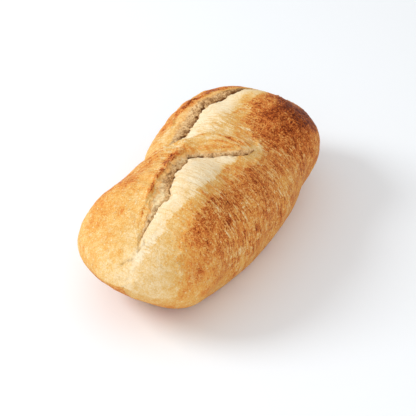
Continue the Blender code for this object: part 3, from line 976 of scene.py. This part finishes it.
class Nodes:
    """Short calls that add nodes to one material."""

    def __init__(self, material):
        self.tree = material.node_tree

    def put(self, socket, value):
        if isinstance(value, Value):
            self.tree.links.new(value.socket, socket)
        else:
            socket.default_value = value

    def add(self, kind, inputs, **settings):
        node = self.tree.nodes.new(kind)
        for name, value in settings.items():
            setattr(node, name, value)
        for name, value in inputs.items():
            self.put(node.inputs[name], value)
        return node

    def value(self, kind, output, inputs, **settings):
        """One output of a new node."""
        return Value(self, self.add(kind, inputs, **settings).outputs[output])

    def math(self, operation, *values):
        return self.value("ShaderNodeMath", 0, dict(enumerate(values)), operation=operation)

    def place(self, *values):
        return self.value("ShaderNodeCombineXYZ", 0, dict(enumerate(values)))

    def kept(self, name):
        """A number that is kept on the mesh."""
        return self.value("ShaderNodeAttribute", "Fac", {}, attribute_name=name)

    def noise(self, place, size, detail, roughness, distortion):
        inputs = {"Vector": place, "Scale": 1.0 / size, "Detail": detail, "Roughness": roughness}
        inputs["Distortion"] = distortion
        return self.value("ShaderNodeTexNoise", "Fac", inputs)

    def ramp(self, value, stops):
        """The colour that belongs to the value. Stops are (value, colour)."""
        node = self.add("ShaderNodeValToRGB", {"Fac": value})
        elements = node.color_ramp.elements
        while len(elements) < len(stops):
            elements.new(0.5)
        for element, (at, colour) in zip(elements, stops):
            element.position = at
            element.color = colour
        return Value(self, node.outputs["Color"])

    def mix(self, share, first, second, kind="RGBA"):
        """A mix of two colours, or of two numbers if the kind is FLOAT."""
        at, result = MIX_SOCKETS[kind]
        return self.value("ShaderNodeMix", result, {0: share, at: first, at + 1: second}, data_type=kind)


class LoafMaterial(Nodes):
    """Crust and torn crumb, from procedural noise and the numbers kept on the mesh."""

    def __init__(self, material):
        super().__init__(material)
        self.spot = self.value("ShaderNodeTexCoord", "Object", {})
        split = self.add("ShaderNodeSeparateXYZ", {"Vector": self.spot})
        self.x, up = Value(self, split.outputs["X"]), Value(self, split.outputs["Z"])
        self.flow = self.place(self.x, self.kept("round") * FLOW_ROUND, up * FLOW_UP)
        self.streaks = self.noise(self.flow, *STREAKS)
        self.mottle = self.noise(self.spot, *MOTTLE)
        self.grain = self.noise(self.spot, *GRAIN)
        self.crumb_grain = self.noise(self.spot, *CRUMB_GRAIN)
        self.wall = self.kept("wall")
        self.streaked = self.find_streaked()
        self.bake = self.find_bake()
        self.golden = self.bake.between(*GOLDEN_FROM)
        self.brown = self.bake.between(*BROWN_FROM_BAKE)
        self.level = self.find_level()
        self.dots_and_glints = self.find_dots_and_glints()

    def find_streaked(self):
        """How streaked the crust is."""
        areas = self.noise(self.spot, *STREAKY_AREAS).between(*STREAKY_FROM)
        areas = areas * STREAKY_MORE + STREAKY_LEAST
        waist = abs(self.x - WAIST_X).between(*WAIST_REACH)
        return areas * waist * WAIST_MORE + STREAKS_ANYWHERE

    def find_bake(self):
        """How baked each area of the crust is, with painted light at a few places."""
        low, high = SHARE_ENDS
        share = self.kept("share") + self.noise(self.spot, *BORDERS).swing(BORDER_SWING)
        share = share + self.streaks.swing(BORDER_STREAKS)
        spread = (share - low) * (1.0 / (high - low))
        stops = [((at - low) / (high - low), (bake, bake, bake, 1.0)) for at, bake in SHARE_BAKES]
        right_bake = self.ramp(spread, stops)
        bake = self.mix(self.kept("side"), right_bake, self.kept("left_bake"), "FLOAT")
        # Lines run along the burnt rim of the lifted crust.
        along_rim = self.place(self.x * RIM_STRETCH, self.kept("past_wall"))
        rim_lines = self.noise(along_rim, *RIM_LINES).swing(RIM_SWING) * self.kept("rim")
        return bake + self.kept("more_bake_and_painted_light") + rim_lines

    def find_level(self):
        """The bake of each spot, with the pattern of the crust."""
        change = self.noise(self.spot, *CLOUDS).swing(CLOUD_SWING) + self.mottle.swing(MOTTLE_SWING)
        change = change + self.streaks.swing(STREAK_SWING) * self.streaked
        change = change + self.grain.swing(GRAIN_SWING)
        strength = self.brown * BROWN_PATTERN + (self.golden * GOLDEN_PATTERN + PALE_PATTERN)
        return change * strength + self.bake

    def find_dots_and_glints(self):
        """How much each spot belongs to a dot, a blister or a thin line. The dots and blisters are partly
        painted glints.
        """
        inputs = {"Vector": self.spot, "Scale": 1.0 / DOT_SPACING}
        cells = self.add("ShaderNodeTexVoronoi", inputs, feature="F1")
        colour = Value(self, cells.outputs["Color"])
        choice = self.value("ShaderNodeSeparateColor", 0, {0: colour}).between(*DOT_CHOICE)
        dots_and_glints = Value(self, cells.outputs["Distance"]).between(*DOT_EDGE) * choice
        dots_and_glints = dots_and_glints.or_more(self.kept("blister") * BLISTER_DOTS)
        lines = self.noise(self.flow, *THIN_LINES).between(*THIN_LINE_EDGE) * self.streaked
        dots_and_glints = dots_and_glints.or_more(lines * THIN_LINE_SHARE)
        return dots_and_glints * (self.golden * GOLDEN_DOTS + PALE_DOTS)

    def crust(self):
        """The colour of the crust, with lighter dots that are partly painted glints."""
        crust = self.ramp(self.level, CRUST_TONES)
        lighter = self.ramp(self.level - LIGHTER, CRUST_TONES)
        crust = self.mix(self.dots_and_glints * (self.brown * LIGHTER_ON_BROWN + LIGHTER_SHARE), crust, lighter)
        fibres = self.streaks.between(*FIBRE_EDGE) * self.bake.between(*FIBRE_BAKE)
        return self.mix(fibres * FIBRE_SHARE, crust, FIBRE_TONE)

    def crumb(self):
        """The colour of the torn crumb, with shade painted in its holes and light painted where it bulges.
        """
        up_the_wall = self.kept("up_the_wall")
        level = self.crumb_grain.swing(CRUMB_GRAIN_SWING) + (up_the_wall * CRUMB_RISE + CRUMB_LOW)
        level = level + self.noise(self.spot, *CRUMB_CLOUDS).swing(CRUMB_CLOUD_SWING)
        crumb = self.ramp(level + self.kept("crumb_more"), CRUMB_TONES)
        gold = self.mix(self.mottle.between(*CRUMB_GOLD_DEEPENS), CRUMB_GOLD, CRUMB_DEEP_GOLD)
        golden = (up_the_wall + self.mottle.swing(CRUMB_GOLD_SWING)).between(*CRUMB_GOLD_FROM)
        crumb = self.mix(golden, crumb, gold)
        return self.mix(self.kept("pores") * HOLE_SHADE_SHARE, crumb, HOLE_SHADE_TONE)

    def painted_shade(self):
        """The shade painted in the crevices and cracks."""
        breaks = self.noise(self.spot, *CREVICE_BREAKS).between(*CREVICE_EDGE)
        crevice_shades = self.kept("crevice") * breaks * CREVICE_SHARE
        crack_shade = self.kept("crack_shade") * self.mottle.between(*CRACK_EDGE) * CRACK_SHARE
        return crevice_shades.or_more(crack_shade)

    def roughness(self):
        return self.value("ShaderNodeMapRange", "Result", {"Value": self.level, **ROUGHNESS})

    def bumps(self):
        height = self.grain * GRAIN_BUMP + self.streaks * STREAK_BUMP + self.mottle * MOTTLE_BUMP
        height = height + self.dots_and_glints * DOT_BUMP + self.crumb_grain * self.wall * CRUMB_BUMP
        inputs = {"Height": height, "Strength": BUMP_STRENGTH, "Distance": BUMP_HEIGHT}
        return self.value("ShaderNodeBump", "Normal", inputs)


def crust_material():
    material = bpy.data.materials.new("baked_crust")
    material.use_nodes = True
    nodes = LoafMaterial(material)
    colour = nodes.mix(nodes.wall, nodes.crust(), nodes.crumb())
    inputs = material.node_tree.nodes["Principled BSDF"].inputs
    nodes.put(inputs["Base Color"], nodes.mix(nodes.painted_shade(), colour, PAINTED_SHADE_TONE))
    nodes.put(inputs["Roughness"], nodes.roughness())
    nodes.put(inputs["Specular IOR Level"], SPECULAR)
    nodes.put(inputs["Normal"], nodes.bumps())
    return material


mesh.materials.append(crust_material())
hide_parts("loaf")
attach(loaf, "root")

# --------------------
# Floor, light and camera.

FLOOR_REACH, FLOOR_COLOUR, FLOOR_ROUGHNESS = 6.0, (0.91, 0.93, 0.947, 1.0), 0.6
# Lights: (name, place, size, energy, colour). All of them point at the loaf's middle.
LIGHTS = (
    ("key", (-0.45, 1.0, 0.85), 0.6, 11.1, (0.95, 0.99, 1.03)),
    ("fill", (-1.2, -0.8, 0.9), 1.2, 4.8, (1.02, 1.0, 0.99)),
)
LIT_PLACE = (0.0, 0.0, 0.04)
SKY_COLOUR, SKY_STRENGTH = (1.0, 1.0, 1.0, 1.0), 0.72
CAMERA_PLACE = (-0.7142, -0.3967, 0.6349)
CAMERA_FORWARD = (0.7006, 0.3855, -0.6004)
CAMERA_LENS, CAMERA_SENSOR, CAMERA_NEAREST = 125.48, 36.0, 0.01


def make_floor():
    material = bpy.data.materials.new("floor")
    material.use_nodes = True
    shader = material.node_tree.nodes["Principled BSDF"]
    shader.inputs["Base Color"].default_value = FLOOR_COLOUR
    shader.inputs["Roughness"].default_value = FLOOR_ROUGHNESS
    corners = [(FLOOR_REACH * x, FLOOR_REACH * y, 0.0) for x, y in ((-1, -1), (1, -1), (1, 1), (-1, 1))]
    sheet = bpy.data.meshes.new("floor")
    sheet.from_pydata(corners, [], [(0, 1, 2, 3)])
    sheet.materials.append(material)
    floor = add_object("floor", sheet)


def make_light(name, place, size, energy, colour):
    data = bpy.data.lights.new(name, "AREA")
    data.shape = "DISK"
    data.size = size
    data.energy = energy
    data.color = colour
    light = add_object(name, data)
    light.location = place
    light.rotation_euler = (Vector(LIT_PLACE) - Vector(place)).to_track_quat("-Z", "Y").to_euler()


def make_camera():
    data = bpy.data.cameras.new("camera")
    data.lens = CAMERA_LENS
    data.sensor_width = CAMERA_SENSOR
    data.clip_start = CAMERA_NEAREST
    camera = add_object("camera", data)
    forward = Vector(CAMERA_FORWARD).normalized()
    right = forward.cross(Vector((0.0, 0.0, 1.0))).normalized()
    above = right.cross(forward)
    turned = Matrix((right, above, -forward)).transposed().to_4x4()
    camera.matrix_world = Matrix.Translation(CAMERA_PLACE) @ turned
    bpy.context.scene.camera = camera


def make_sky():
    world = bpy.data.worlds.new("studio")
    world.use_nodes = True
    background = world.node_tree.nodes["Background"]
    background.inputs["Color"].default_value = SKY_COLOUR
    background.inputs["Strength"].default_value = SKY_STRENGTH
    bpy.context.scene.world = world


make_floor()
for light in LIGHTS:
    make_light(*light)
make_camera()
make_sky()
bpy.context.scene.view_settings.view_transform = "Standard"
